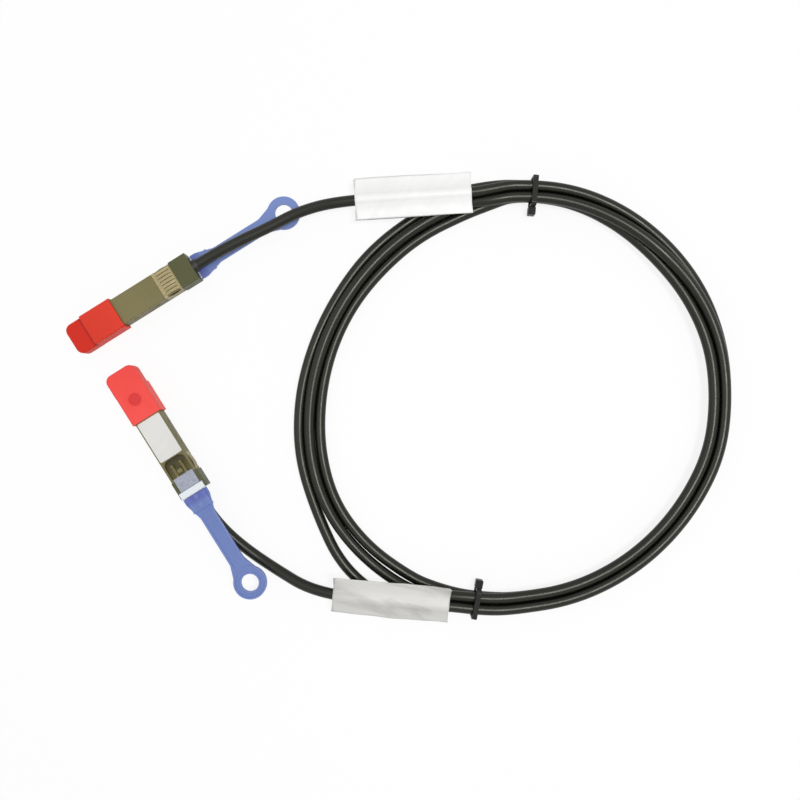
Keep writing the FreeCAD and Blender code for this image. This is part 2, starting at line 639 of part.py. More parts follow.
def dust_cap():
    """Moulded cap: a sleeve over the plug's nose and a thinner grip tongue with a step."""
    clear = CAP_PLAY
    outer_width = PLUG_WIDTH + 2 * (clear + CAP_WALL)
    low, high = -(clear + CAP_WALL), PLUG_HEIGHT + clear + CAP_WALL
    back = -(CAP_END_GAP + CAP_END_WALL)
    sleeve = rounded_bar((back, CAP_MOUTH), outer_width, (low, high), CAP_ROUND)
    tongue = centred((back - CAP_TONGUE, back + CAP_ROUND), outer_width, (low, low + CAP_TONGUE_THICKNESS))
    tip = upright_edges(tongue, lambda c: c.x < back - CAP_TONGUE + 0.1)
    tongue = tongue.makeFillet(CAP_TONGUE_CORNER, tip)
    rims = [e for e in tongue.Edges if abs(e.CenterOfMass.z - low) < 0.01
            or abs(e.CenterOfMass.z - low - CAP_TONGUE_THICKNESS) < 0.01]
    rims = [e for e in rims if e.CenterOfMass.x < back + CAP_ROUND - 0.1]
    tongue = tongue.makeFillet(CAP_ROUND * 0.6, rims)
    cap = joined([sleeve, tongue])
    cavity = rounded_bar((-CAP_END_GAP, CAP_MOUTH + 1), PLUG_WIDTH + 2 * clear,
                         (-clear, PLUG_HEIGHT + clear), EDGE_ROUND)
    dimple = cylinder(DIMPLE_DIAMETER / 2, (DIMPLE_X, 0, low - 1), (0, 0, 1), 1 + DIMPLE_DEPTH)
    return cap.cut(cavity).cut(dimple)


def shell_label():
    """Bare sticker on the latch face."""
    sticker = centred((STICKER_START, STICKER_END), STICKER_WIDTH, (-STICKER_THICKNESS, 0))
    return sticker.makeFillet(0.8, upright_edges(sticker, lambda c: True))


# ---- cord, labels and ties ----------------------------------------------------------------
def corner_arc(before, corner, after, share):
    """Tangent arc at a corner that takes a share of the shorter run, and its radius."""
    back, ahead = before - corner, after - corner
    half_turn = (pi - back.getAngle(ahead)) / 2
    reach = share * min(back.Length, ahead.Length)
    radius = reach / tan(half_turn)
    back.normalize()
    ahead.normalize()
    inward = back + ahead
    inward.normalize()
    middle = corner + inward * (radius / cos(half_turn) - radius)
    return Part.Arc(corner + back * reach, middle, corner + ahead * reach), radius


def cord_path(points, name):
    """Straight runs joined by tangent arcs, each as large as its two runs allow."""
    corners = [V(*p) for p in points]
    edges, radii, here = [], [], corners[0]
    for before, corner, after in zip(corners, corners[1:], corners[2:]):
        arc, radius = corner_arc(before, corner, after, CORD_BEND_SHARE)
        edges += [Part.LineSegment(here, arc.StartPoint).toShape(), arc.toShape()]
        radii.append(radius)
        here = arc.EndPoint
    edges.append(Part.LineSegment(here, corners[-1]).toShape())
    path = Part.Wire(edges)
    print(name, "length", round(path.Length, 1), "radii", [round(r) for r in radii])
    return path


def cord_tube(points, name):
    path = cord_path(points, name)
    start, second = V(*points[0]), V(*points[1])
    section = Part.Wire(Part.makeCircle(CORD_DIAMETER / 2, start, second - start))
    tube = path.makePipeShell([section], True, False)
    ideal = pi * CORD_DIAMETER ** 2 / 4 * path.Length
    print(name, "volume over section times length", round(tube.Volume / ideal, 4))
    return tube


def coil_edge(column):
    """Closed chain of tangent arcs and short straights along one edge of the coil's band."""
    lean = cos(pi / len(COIL_BAND))
    corners = [V(row[column] / lean * cos(radians(row[0])),
                 row[column] / lean * sin(radians(row[0])), 0) for row in COIL_BAND]
    arcs = [corner_arc(before, corner, after, COIL_BEND_SHARE)[0] for before, corner, after
            in zip(corners[-1:] + corners[:-1], corners, corners[1:] + corners[:1])]
    edges = []
    for arc, following in zip(arcs, arcs[1:] + arcs[:1]):
        edges += [arc.toShape(), Part.LineSegment(arc.EndPoint, following.StartPoint).toShape()]
    return Part.Wire(edges)


def coil_layer(height):
    """A flat ring between the band's two edges, with rounded rims."""
    disc, hole = (Part.Face(coil_edge(column)).extrude(V(0, 0, height)) for column in (2, 1))
    ring = disc.cut(hole)
    rims = [e for e in ring.Edges if e.BoundBox.ZLength < 0.01]
    return ring.makeFillet(COIL_ROUND, rims)


def coil_rise():
    """Region where the turns lie in two layers, with a slope where they climb."""
    (x0, y0), (x1, y1) = RISE_FROM
    lean = degrees(atan2(x0 - x1, y0 - y1))
    far = 2 * COIL_REACH
    points = [(0, 0), (0, ONE_LAYER - COIL_ROUND), (RISE_RUN, TWO_LAYERS + 0.1),
              (far, TWO_LAYERS + 0.1), (far, 0)]
    region = polygon([(px, -far, pz) for px, pz in points], (0, 2 * far, 0))
    region.rotate(V(), V(0, 0, 1), -lean)
    region.translate(V((x0 + x1) / 2, (y0 + y1) / 2, 0))
    return region


def tie_frame(angle):
    """Placement at an angle round the coil: x outwards, y along the turns."""
    return FreeCAD.Placement(V(), FreeCAD.Rotation(V(0, 0, 1), angle))


def coil_span(angle):
    """Inner and outer radius of the coil at an angle in the layout."""
    local = radians(angle - COIL_TURN)
    ray = Part.makeLine(V(), V(COIL_REACH * cos(local), COIL_REACH * sin(local), 0))
    return [ray.distToShape(coil_edge(column))[1][0][0].Length for column in (1, 2)]


def tie_block(angle, height, grow, width):
    """Box round the coil's section at an angle."""
    inner, outer = coil_span(angle)
    inner, outer = inner - TIE_PLAY - 0.1, outer + TIE_PLAY
    low = TIE_THICKNESS - grow
    block = box((inner - grow, outer + grow), (-width / 2, width / 2), (low, height + grow))
    block = block.makeFillet(TIE_CORNER + grow, [e for e in block.Edges
                                          if abs(e.tangentAt(e.FirstParameter).y) > 0.9])
    return block


def cable_tie(angle, height):
    """Nylon tie round the bundle, with its locking head on the inside of the coil."""
    loop = tie_block(angle, height, TIE_THICKNESS, TIE_WIDTH).cut(tie_block(angle, height, 0, 10))
    inner = coil_span(angle)[0] - TIE_PLAY - 0.1 - TIE_THICKNESS
    long, wide, tall = TIE_HEAD
    head = box((inner - long + 0.8, inner + 0.4), (-wide / 2, wide / 2), (2.6, 2.6 + tall))
    head = head.makeFillet(0.6, upright_edges(head, lambda c: True))
    tail = box((inner - long + 1.4, inner - long + 2.4), (-TIE_WIDTH / 2, TIE_WIDTH / 2),
               (2.0, 3.4 + tall))
    tie = joined([loop, head, tail])
    tie.Placement = tie_frame(angle)
    return tie


def cable_coil():
    """Outer shape of the wound turns, notched underneath for the ties' straps."""
    low = coil_layer(ONE_LAYER)
    high = coil_layer(TWO_LAYERS).common(coil_rise())
    coil = low.fuse(high)
    coil.rotate(V(), V(0, 0, 1), COIL_TURN)
    coil = joined([coil, cord_tube(FAN, "fanned turn")])
    for angle in (TIE_TOP_ANGLE, TIE_BOTTOM_ANGLE):
        inner, outer = coil_span(angle)
        notch = box((inner - 3, outer + 3), (-TIE_WIDTH / 2 - TIE_PLAY, TIE_WIDTH / 2 + TIE_PLAY),
                    (-1, TIE_THICKNESS + TIE_PLAY))
        notch.Placement = tie_frame(angle)
        coil = coil.cut(notch)
    return coil


def label_outline(radius, tip, x):
    """Lens round the cord: a circle with tangents that meet at a tip on each side."""
    lean = atan2(sqrt(tip ** 2 - radius ** 2), radius)
    ty, tz = radius * cos(lean), radius * sin(lean)
    top = [V(x, -tip, 0), V(x, -ty, tz), V(x, 0, radius), V(x, ty, tz), V(x, tip, 0)]
    low = [V(p.x, p.y, -p.z) for p in top]
    edges = []
    for side in (top, low):
        edges += [Part.LineSegment(side[0], side[1]).toShape(),
                  Part.Arc(side[1], side[2], side[3]).toShape(),
                  Part.LineSegment(side[3], side[4]).toShape()]
    return Part.Face(Part.Wire(Part.__sortEdges__(edges)))


def wrap_label(place):
    """Film label wrapped round the cord, its two leaves pressed together at both sides."""
    (x, y), heading, tilt = place
    inner = CORD_DIAMETER / 2 + LABEL_PLAY
    outer = inner + LABEL_FILM
    start = -LABEL_LENGTH / 2
    body = label_outline(outer, LABEL_WIDTH / 2, start).extrude(V(LABEL_LENGTH, 0, 0))
    hollow = label_outline(inner, LABEL_WIDTH / 2 - 1.6, start - 1).extrude(V(LABEL_LENGTH + 2, 0, 0))
    label = body.cut(hollow)
    label.rotate(V(), V(1, 0, 0), tilt)
    label.rotate(V(), V(0, 0, 1), heading)
    label.translate(V(x, y, LABEL_HEIGHT))
    return label


# ---- assembly -----------------------------------------------------------------------------
PLUG_PIECES = {
    "base_shell": base_shell, "cover_shell": cover_shell, "emi_collar": emi_collar,
    "paddle_card": paddle_card, "edge_contacts": edge_contacts, "memory_chip": memory_chip,
    "coupling_capacitors": coupling_capacitors, "twinax_pairs": twinax_pairs,
    "wire_ends": wire_ends, "crimp_ferrule": crimp_ferrule, "strain_relief": strain_relief,
    "release_slider": release_slider, "return_springs": return_springs, "pull_tab": pull_tab,
    "tab_rivets": tab_rivets, "dust_cap": dust_cap,
}


def plug_placements():
    """Plug A lies latch face down along +X, plug B latch face up along -Y."""
    a = FreeCAD.Placement(V(PLUG_A[0], PLUG_A[1], LIFT), FreeCAD.Rotation())
    turned = FreeCAD.Rotation(V(0, -1, 0), V(-1, 0, 0), V(0, 0, -1), "XYZ")
    b = FreeCAD.Placement(V(PLUG_B[0], PLUG_B[1], LIFT + PLUG_HEIGHT), turned)
    return {"a": a, "b": b}


def build():
    nodes = {}
    for end, placement in plug_placements().items():
        for name, make in PLUG_PIECES.items():
            piece = make()
            piece.Placement = placement
            nodes[f"{name}_{end}"] = piece
    sticker = shell_label()
    sticker.Placement = plug_placements()["b"]
    nodes["shell_label_b"] = sticker
    plugs = Part.makeCompound(list(nodes.values())).BoundBox
    nodes["cable_coil"] = cable_coil()
    nodes["cable_lead_a"] = cord_tube(LEAD_A, "cable_lead_a")
    nodes["cable_lead_b"] = cord_tube(LEAD_B, "cable_lead_b")
    nodes["wrap_label_a"] = wrap_label(LABEL_A)
    nodes["wrap_label_b"] = wrap_label(LABEL_B)
    nodes["cable_tie_top"] = cable_tie(TIE_TOP_ANGLE, TWO_LAYERS + TIE_PLAY)
    nodes["cable_tie_bottom"] = cable_tie(TIE_BOTTOM_ANGLE, TIE_BOTTOM_HEIGHT)
    # The origin is on the surface, at the middle of the two plugs' footprint.
    shift = V(-(plugs.XMin + plugs.XMax) / 2, -(plugs.YMin + plugs.YMax) / 2, 0)
    print("layout origin moves by", round(shift.x, 4), round(shift.y, 4))
    for piece in nodes.values():
        piece.translate(shift)
    return nodes


os.makedirs("parts", exist_ok=True)
for node, solid in build().items():
    solid.exportStep(f"parts/{node}.step")
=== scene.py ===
"""Looks of the direct attach copper cable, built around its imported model.

Everything is in metres in the part's own frame: plug A along +X, plug B along -Y,
and the coil beside them.  The camera looks straight down.
"""
from math import cos, pi, radians, sin, sqrt

import bmesh
import bpy
from mathutils import Matrix, Vector


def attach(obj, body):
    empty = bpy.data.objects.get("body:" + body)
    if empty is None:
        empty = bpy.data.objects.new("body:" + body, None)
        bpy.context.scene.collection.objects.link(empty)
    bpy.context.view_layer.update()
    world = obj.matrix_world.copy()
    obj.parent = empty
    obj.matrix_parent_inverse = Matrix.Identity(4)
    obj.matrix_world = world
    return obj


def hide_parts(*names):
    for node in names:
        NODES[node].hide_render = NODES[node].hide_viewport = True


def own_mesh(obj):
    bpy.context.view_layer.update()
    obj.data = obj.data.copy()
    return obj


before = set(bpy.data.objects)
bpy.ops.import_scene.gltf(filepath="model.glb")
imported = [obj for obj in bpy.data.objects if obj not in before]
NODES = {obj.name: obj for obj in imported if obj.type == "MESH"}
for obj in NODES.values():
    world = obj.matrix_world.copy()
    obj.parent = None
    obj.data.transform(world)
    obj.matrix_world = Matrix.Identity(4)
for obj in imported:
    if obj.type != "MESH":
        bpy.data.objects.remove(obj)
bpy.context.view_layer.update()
ROOT_BODY = "cable_and_shells"
MM = 0.001

# Lengths below are in millimetres.
# Where the middle of the coil is in the part's frame, and how far its own axes are turned.
COIL_X, COIL_Y = 103.0442, -64.1442
COIL_TURN = -32.0
CORD_DIAMETER = 5.3

# Insertion ends of the plugs on their latch faces, from the coil's middle.
# Plug A lies on its latch side.
PLUG_A = (-154.5, 135.5, 1.1)
PLUG_B = (-154.3, 99.7, 9.6)

# Places along a plug, from its insertion end, where a finish changes.
STEP_START, TONGUE_START = -3.1, -1.9       # of a cap's grip, before the insertion end
DIMPLE_PLACE, DIMPLE_RADIUS = 4.2, 3.0      # a cap's round dimple
POCKET_START, POCKET_END = 37.5, 45.5       # the latch pocket
TINES_END = 46.2
GRIP_START = 47.4
LIP_START = 53.6
TAB_ROOT_END = 61.0
# Places in from a plug's latch face, and across it from its middle.
LATCH_FACE, TONGUE_TOP = 0.3, 4.5
RAIL_INSIDE = 6.2

TIE_TOP_ANGLE, TIE_BOTTOM_ANGLE = -53.1, -226.9


def from_layout(x, y, z):
    """A point in millimetres from the coil's middle, as a point in the part's frame."""
    return Vector(((x + COIL_X) * MM, (y + COIL_Y) * MM, z * MM))


# ---- camera -------------------------------------------------------------------------------
CAMERA_PLACE = (-47.7, 28.6, 400.0)
CAMERA_LENS, CAMERA_SENSOR = 36.9, 36.0


def make_camera():
    data = bpy.data.cameras.new("camera")
    data.lens = CAMERA_LENS
    data.sensor_width = CAMERA_SENSOR
    data.clip_start = 0.01
    camera = bpy.data.objects.new("camera", data)
    bpy.context.scene.collection.objects.link(camera)
    camera.location = from_layout(*CAMERA_PLACE)
    camera.rotation_euler = (0, 0, radians(COIL_TURN))
    bpy.context.scene.camera = camera


make_camera()


# ---- material tools -----------------------------------------------------------------------
def linear(rgb):
    """Scene colour of a 0-255 screen colour (the sRGB curve)."""
    out = []
    for c in rgb:
        c = c / 255
        out.append(c / 12.92 if c <= 0.04045 else ((c + 0.055) / 1.055) ** 2.4)
    return (*out, 1.0)


def shaded(rgb, factor=1.0, lift=0):
    """Scene colour of a screen colour that is first scaled and lifted."""
    return linear(tuple(min(255, c * factor + lift) for c in rgb))


class Nodes:
    """Builds one material's node tree."""

    def __init__(self, name):
        self.material = bpy.data.materials.new(name)
        self.material.use_nodes = True
        self.tree = self.material.node_tree
        self.tree.nodes.clear()
        self.out = self.add("ShaderNodeOutputMaterial")
        self.shader = self.add("ShaderNodeBsdfPrincipled")
        self.link(self.shader.outputs["BSDF"], self.out.inputs["Surface"])
        self.coordinates = self.add("ShaderNodeTexCoord").outputs["Object"]

    def add(self, kind, **values):
        node = self.tree.nodes.new(kind)
        for key, value in values.items():
            if key in node.inputs:
                node.inputs[key].default_value = value
            else:
                setattr(node, key, value)
        return node

    def link(self, a, b):
        self.tree.links.new(a, b)

    def stretched(self, scale, turn=0.0):
        """Object coordinates turned about Z, then with a scale for each axis."""
        where = self.coordinates
        for socket, value in (("Rotation", (0, 0, turn)), ("Scale", scale)):
            node = self.add("ShaderNodeMapping")
            node.inputs[socket].default_value = value
            self.link(where, node.inputs["Vector"])
            where = node.outputs["Vector"]
        return where

    def along_plug(self, side):
        """Millimetres from a plug's insertion end, across it, and in from its latch face."""
        axes = self.add("ShaderNodeSeparateXYZ")
        self.link(self.coordinates, axes.inputs[0])
        x, y, z = (self.maths("MULTIPLY", axes.outputs[i], 1000.0) for i in range(3))
        ax, ay, az = (PLUG_A if side == "a" else PLUG_B)
        ax, ay = ax + COIL_X, ay + COIL_Y
        if side == "a":
            return (self.maths("SUBTRACT", x, ax), self.maths("SUBTRACT", y, ay),
                    self.maths("SUBTRACT", z, az))
        return (self.maths("SUBTRACT", ay, y), self.maths("SUBTRACT", ax, x),
                self.maths("SUBTRACT", az, z))

    def past(self, value, limit, soft=0.25):
        """Mask of where a value is past a limit, or short of it if soft is negative."""
        return self.ramp(value, limit - soft, limit + soft)

    def noise(self, scale, detail=3.0, where=None, distortion=0.0):
        node = self.add("ShaderNodeTexNoise", Scale=scale, Detail=detail, Roughness=0.55,
                        Distortion=distortion)
        self.link(where or self.coordinates, node.inputs["Vector"])
        return node.outputs["Fac"]

    def cells(self, scale):
        """Distance from the middle of the nearest cell."""
        node = self.add("ShaderNodeTexVoronoi", Scale=scale)
        self.link(self.coordinates, node.inputs["Vector"])
        return node.outputs["Distance"]

    def ramp(self, value, low, high, to_low=0.0, to_high=1.0):
        """A value's range, clamped and carried over to another range."""
        node = self.add("ShaderNodeMapRange")
        for key, number in (("From Min", low), ("From Max", high),
                            ("To Min", to_low), ("To Max", to_high)):
            node.inputs[key].default_value = number
        self.link(value, node.inputs["Value"])
        return node.outputs["Result"]

    def mix(self, factor, a, b):
        """Blend of two colours; each is a socket or a colour."""
        node = self.add("ShaderNodeMix", data_type="RGBA")
        sockets = [s for s in node.inputs if s.type == "RGBA"]
        for value, socket in ((a, sockets[0]), (b, sockets[1])):
            if isinstance(value, tuple):
                socket.default_value = value
            else:
                self.link(value, socket)
        self.link(factor, next(s for s in node.inputs if s.type == "VALUE"))
        return next(s for s in node.outputs if s.type == "RGBA")

    def maths(self, operation, a, b=0.5):
        """A sum on sockets or numbers; b isn't used by operations of one value."""
        node = self.add("ShaderNodeMath", operation=operation)
        for value, socket in zip((a, b), node.inputs):
            if isinstance(value, (int, float)):
                socket.default_value = value
            else:
                self.link(value, socket)
        return node.outputs["Value"]

    def edges(self, low=0.53, high=0.60):
        """Mask of outward edges, where a finish rubs through."""
        point = self.add("ShaderNodeNewGeometry").outputs["Pointiness"]
        return self.ramp(point, low, high)

    def bump(self, height, distance, strength, after=None):
        """Relief from a height, on top of an earlier relief if there is one."""
        node = self.add("ShaderNodeBump", Strength=strength, Distance=distance)
        self.link(height, node.inputs["Height"])
        if after:
            self.link(after, node.inputs["Normal"])
        return node.outputs["Normal"]

    def finish(self, color, roughness, normal=None, **constants):
        """Feed the shader; the constants are its sockets' names with _ for a space."""
        self.link(color, self.shader.inputs["Base Color"])
        if isinstance(roughness, float):
            self.shader.inputs["Roughness"].default_value = roughness
        else:
            self.link(roughness, self.shader.inputs["Roughness"])
        if normal:
            self.link(normal, self.shader.inputs["Normal"])
        for key, value in constants.items():
            self.shader.inputs[key.replace("_", " ")].default_value = value
        return self.material


def cast_metal(name, light, dark, side, recess=False):
    """Plated die-cast zinc: satin skin, fine grain, darker and greener towards the rear, and
    painted shade in its latch recess.
    """
    n = Nodes(name)
    x, y, z = n.along_plug(side)
    fine = n.noise(2600, 3.0)
    color = n.mix(n.ramp(n.noise(32, 2.0), 0.25, 0.75), linear(dark), linear(light))
    color = n.mix(n.ramp(fine, 0.5, 0.8, 0.0, 0.25), color, shaded(dark, 0.8))
    color = n.mix(n.maths("MULTIPLY", n.edges(), 0.4), color, shaded(light, lift=26))
    grip = n.maths("MULTIPLY", n.past(x, GRIP_START), 0.88)
    color = n.mix(grip, color, linear((64, 68, 36)))
    # Painted shade: the latch pocket between the rails is darkened, most at the pocket's start.
    if recess:
        between_rails = n.past(n.maths("ABSOLUTE", y), RAIL_INSIDE, -0.2)
        recess_shade = n.maths("MULTIPLY", n.past(z, LATCH_FACE, 0.2), between_rails)
        recess_shade = n.maths("MULTIPLY", recess_shade, n.ramp(x, POCKET_START, POCKET_END, 1.0, 0.25))
        color = n.mix(recess_shade, color, linear((46, 38, 12)))
    roughness = n.ramp(n.noise(300, 3.0), 0.3, 0.7, 0.42, 0.54)
    normal = n.bump(fine, 0.00002, 0.45)
    normal = n.bump(n.noise(160, 2.0), 0.00004, 0.15, normal)
    return n.finish(color, roughness, normal, Metallic=0.4)


def slider_metal(side):
    """Plated slider: tines painted dark as shade in the recess, grey band, and a smoother lip at
    the rear painted near-white as a highlight.
    """
    n = Nodes("slider_plating_" + side)
    x = n.along_plug(side)[0]
    lines = n.noise(1.0, 2.0, where=n.stretched((900, 900, 2600)))
    color = n.mix(n.ramp(lines, 0.3, 0.7), linear((138, 142, 156)), linear((156, 160, 174)))
    # Painted shade: the tines ahead of TINES_END are darkened as the shaded recess.
    color = n.mix(n.past(x, TINES_END, -0.4), color, linear((99, 92, 54)))
    # Painted highlight: the lip is near-white; its lower roughness is the lip's own polish.
    lip_and_highlight = n.past(x, LIP_START, 0.15)
    color = n.mix(lip_and_highlight, color, linear((214, 220, 224)))
    color = n.mix(n.ramp(n.noise(260, 3.0), 0.55, 0.8, 0.0, 0.25), color, linear((84, 84, 80)))
    normal = n.bump(lines, 0.00002, 0.4)
    return n.finish(color, n.ramp(lip_and_highlight, 0.0, 1.0, 0.5, 0.3), normal, Metallic=0.45)


def sheet_metal(name, light, dark, metallic=1.0, rough=(0.18, 0.34), along=(40, 3000, 3000)):
    """Rolled strip: fine drawn lines along one axis."""
    n = Nodes(name)
    lines = n.noise(1.0, 2.0, where=n.stretched(along))
    color = n.mix(n.ramp(lines, 0.3, 0.7), linear(dark), linear(light))
    color = n.mix(n.ramp(n.noise(220, 3.0), 0.55, 0.8, 0.0, 0.4), color, linear(dark))
    roughness = n.ramp(lines, 0.3, 0.7, *rough)
    return n.finish(color, roughness, n.bump(lines, 0.00002, 0.5), Metallic=metallic)


def moulded(name, light, dark, rough, grain, depth, zones=None, **constants):
    """Moulded plastic or rubber: fine spark-eroded grain, slow drift, softly rubbed edges."""
    n = Nodes(name)
    drift = n.noise(28, 2.0)
    color = n.mix(n.ramp(drift, 0.25, 0.75), linear(dark), linear(light))
    if zones:
        color = zones(n, color)
    specks = n.ramp(n.cells(1500), 0.0, 0.12, 0.10, 0.0)
    color = n.mix(specks, color, shaded(dark, 0.75))
    rubbed = n.maths("MULTIPLY", n.edges(0.54, 0.66), 0.4)
    color = n.mix(rubbed, color, shaded(light, 1.10, 10))
    roughness = n.ramp(n.noise(260, 3.0), 0.3, 0.7, *rough)
    normal = n.bump(n.noise(grain, 2.0), depth, 0.4)
    normal = n.bump(n.noise(90, 2.0), 0.00006, 0.12, normal)
    return n.finish(color, roughness, normal, **constants)


def cap_silicone(side, light, dark):
    """Dust cap: the grip tongue is painted a deeper red as shade, darkest in the step before the
    sleeve as a painted shadow.
    """
    def zones(n, color):
        """Painted shade on the tongue, a painted shadow in the step behind it, and painted shade
        in the round dimple on the latch side.
        """
        x, y, z = n.along_plug(side)
        # Painted shade on the lowered tongue, and a darker painted shadow in the step behind it.
        tongue_shade = n.maths("MULTIPLY", n.past(x, TONGUE_START, -0.15), n.past(z, TONGUE_TOP, 0.5))
        color = n.mix(tongue_shade, color, linear((207, 33, 6)))
        step_shadow = n.maths("MULTIPLY", n.past(x, STEP_START, 0.9), tongue_shade)
        color = n.mix(step_shadow, color, linear((140, 20, 6)))
        # Painted shade: the round dimple on the latch side is a darker red.
        along = n.maths("POWER", n.maths("SUBTRACT", x, DIMPLE_PLACE), 2.0)
        across = n.maths("POWER", n.maths("ABSOLUTE", y), 2.0)
        away = n.maths("SQRT", n.maths("ADD", along, across))
        dimple_shade = n.maths("MULTIPLY", n.past(away, DIMPLE_RADIUS, -0.4),
                         n.past(z, LATCH_FACE, -0.2))
        return n.mix(n.maths("MULTIPLY", dimple_shade, 0.75), color, linear((208, 46, 47)))
    return moulded("cap_silicone_" + side, light, dark, (0.45, 0.58), 1700, 0.00003, zones,
                   Specular_IOR_Level=0.30, Subsurface_Weight=0.05, Subsurface_Scale=0.002)


def tab_elastomer(side):
    """Pull tab: a darker, more violet root, the arm's rims rubbed lighter."""
    def zones(n, color):
        root = n.past(n.along_plug(side)[0], TAB_ROOT_END, -1.2)
        return n.mix(root, color, linear((88, 98, 168)))
    return moulded("tab_elastomer_" + side, (112, 132, 188), (102, 122, 180), (0.4, 0.54), 1900,
                   0.00003, zones, Specular_IOR_Level=0.4, Subsurface_Weight=0.05,
                   Subsurface_Scale=0.002)


def tie_nylon(name, angle):
    """Nylon strap: fine cross ratchet ridges along its run."""
    n = Nodes(name)
    axes = n.add("ShaderNodeSeparateXYZ")
    n.link(n.stretched((1000, 1000, 1000), radians(angle)), axes.inputs[0])
    run = n.maths("ADD", axes.outputs[0], axes.outputs[2])
    ridge_pitch = 0.9
    ridges = n.maths("SINE", n.maths("MULTIPLY", run, 2 * pi / ridge_pitch))
    color = n.mix(n.ramp(n.noise(120), 0.3, 0.7), linear((16, 17, 15)), linear((25, 26, 23)))
    color = n.mix(n.ramp(n.cells(1600), 0.0, 0.12, 0.2, 0.0), color, linear((44, 44, 40)))
    normal = n.bump(n.ramp(ridges, -0.6, 0.6), 0.00016, 0.8)
    return n.finish(color, n.ramp(n.noise(300), 0.3, 0.7, 0.28, 0.38), normal,
                    Specular_IOR_Level=0.22)


def jacket():
    """Extruded jacket: smooth dark olive-black sheath with faint draw lines and handling haze."""
    n = Nodes("cable_jacket")
    haze = n.noise(45, 4.0)
    color = n.mix(n.ramp(haze, 0.35, 0.7), linear((9, 11, 7)), linear((16, 18, 13)))
    dust = n.ramp(n.noise(1400, 3.0), 0.66, 0.8, 0.0, 0.12)
    color = n.mix(dust, color, linear((96, 96, 82)))
    roughness = n.ramp(n.noise(120, 3.0), 0.3, 0.7, 0.29, 0.37)
    normal = n.bump(n.noise(700, 3.0), 0.00004, 0.3)
    normal = n.bump(n.noise(90, 2.0), 0.0003, 0.2, normal)
    return n.finish(color, roughness, normal, Specular_IOR_Level=0.36,
                    Specular_Tint=(1.0, 0.98, 0.88, 1.0))


def film(name, tone, smear_and_shade, heading=-0.5):
    """Satin label film: a little cockled, with a soft mottle and long grey streaks, partly
    handling smears and partly painted shade of the crumpled film.
    """
    n = Nodes(name)
    mottle = n.noise(70, 4.0)
    color = n.mix(n.ramp(mottle, 0.3, 0.7), shaded(tone, lift=-6), linear(tone))
    # Long grey streaks: partly handling smears, partly painted shade of the crumpled film.
    rubs = n.noise(1.0, 3.0, where=n.stretched((28, 110, 60), heading), distortion=0.6)
    color = n.mix(n.ramp(rubs, 0.45, 0.72), color, shaded(tone, lift=-smear_and_shade))
    fibres = n.noise(1.0, 3.0, where=n.stretched((900, 2600, 900), 0.5))
    color = n.mix(n.ramp(fibres, 0.55, 0.8, 0.0, 0.2), color, shaded(tone, lift=-16))
    roughness = n.ramp(n.noise(160, 3.0), 0.3, 0.7, 0.38, 0.55)
    normal = n.bump(fibres, 0.00002, 0.4)
    normal = n.bump(n.noise(55, 3.0), 0.0005, 0.25, normal)
    return n.finish(color, roughness, normal)


def board():
    """Solder-masked circuit board with faint copper tracks under the mask."""
    n = Nodes("card_mask")
    tracks = n.add("ShaderNodeTexBrick", Scale=1.0, offset=0.5)
    for key, value in (("Color1", linear((22, 92, 58))), ("Color2", linear((18, 78, 50))),
                       ("Mortar", linear((46, 128, 82))), ("Mortar Size", 0.12),
                       ("Brick Width", 3.2), ("Row Height", 0.8)):
        tracks.inputs[key].default_value = value
    n.link(n.stretched((1000, 1000, 1000)), tracks.inputs["Vector"])
    color = n.mix(n.ramp(n.noise(260, 3.0), 0.35, 0.7, 0.0, 0.5), tracks.outputs["Color"],
                  linear((14, 66, 42)))
    normal = n.bump(tracks.outputs["Fac"], 0.00003, 0.5)
    roughness = n.ramp(n.noise(700, 2.0), 0.3, 0.7, 0.22, 0.4)
    return n.finish(color, roughness, normal, Coat_Weight=0.3)


def woven_screen():
    """Foil and braid round a signal pair."""
    n = Nodes("pair_screen")
    wave = n.add("ShaderNodeTexWave", Scale=1.0, Distortion=0.6)
    n.link(n.stretched((2400, 2400, 2400), pi / 4), wave.inputs["Vector"])
    color = n.mix(wave.outputs["Fac"], linear((120, 120, 118)), linear((196, 196, 190)))
    color = n.mix(n.ramp(n.noise(300), 0.5, 0.8, 0.0, 0.4), color, linear((88, 86, 80)))
    normal = n.bump(wave.outputs["Fac"], 0.00008, 0.6)
    return n.finish(color, n.ramp(n.noise(600), 0.3, 0.7, 0.3, 0.5), normal, Metallic=0.9)


# ---- materials ----------------------------------------------------------------------------
SHELL = {side: cast_metal("shell_plating_" + side, (105, 97, 58), (96, 89, 52), side)
         for side in "ab"}
LATCH_SIDE = {side: cast_metal("shell_latch_side_" + side, (106, 98, 58), (90, 83, 46), side,
                               recess=True) for side in "ab"}
SLIDER = {side: slider_metal(side) for side in "ab"}
CAP = {"a": cap_silicone("a", (214, 52, 30), (204, 45, 24)),
       "b": cap_silicone("b", (246, 78, 71), (235, 69, 62))}
TAB = {side: tab_elastomer(side) for side in "ab"}
COLLAR = sheet_metal("collar_strip", (164, 151, 113), (136, 125, 90), 0.6, (0.34, 0.46))
SPRING = sheet_metal("spring_strip", (156, 152, 140), (118, 114, 102))
FERRULE = sheet_metal("ferrule_crimp", (190, 180, 154), (150, 140, 114), 1.0, (0.25, 0.4))
CONTACT = sheet_metal("contact_gold", (226, 186, 94), (196, 152, 66), 1.0, (0.16, 0.3),
                      (3000, 60, 60))
WIRE = sheet_metal("wire_silvered", (212, 206, 194), (168, 158, 142), 1.0, (0.24, 0.4),
                   (60, 2000, 2000))
CARD = board()
CHIP = moulded("chip_epoxy", (44, 44, 46), (28, 28, 30), (0.5, 0.66), 5200, 0.00002)
CAPACITOR = moulded("capacitor_body", (176, 148, 112), (140, 112, 80), (0.36, 0.5), 5200, 0.00001)
PAIR = woven_screen()
